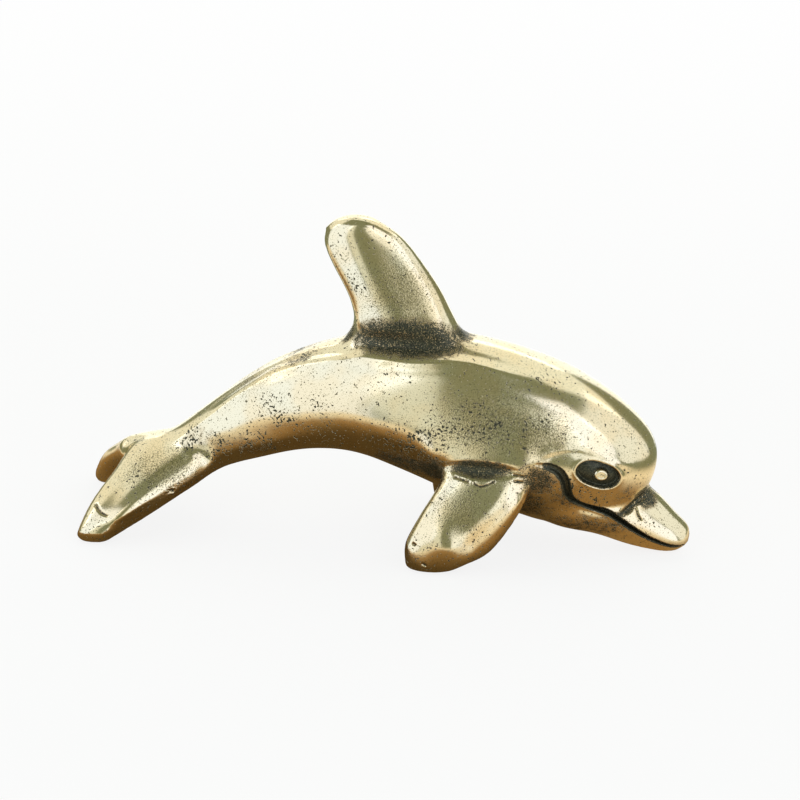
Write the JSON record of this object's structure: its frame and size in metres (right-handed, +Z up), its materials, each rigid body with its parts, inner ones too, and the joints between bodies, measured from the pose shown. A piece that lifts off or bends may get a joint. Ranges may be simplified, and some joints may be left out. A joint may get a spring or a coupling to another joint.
{
  "type": "dolphin figurine",
  "caption": "Small solid cast brass dolphin, arched as if leaping, that rests on its chin, pectoral fins and tail flukes.",
  "frame": {"origin": "middle of the bounding box's underside, on the table between the pectoral fins", "axes": "+X towards the beak, +Y towards the dolphin's left side, +Z up"},
  "size_m": [0.0618, 0.0212, 0.0332],
  "materials": {
    "brass": "polished on the high places, with dark patina left in the recesses and pits"
  },
  "bodies": {
    "root": {"dolphin": "brass"}
  },
  "joints": []
}
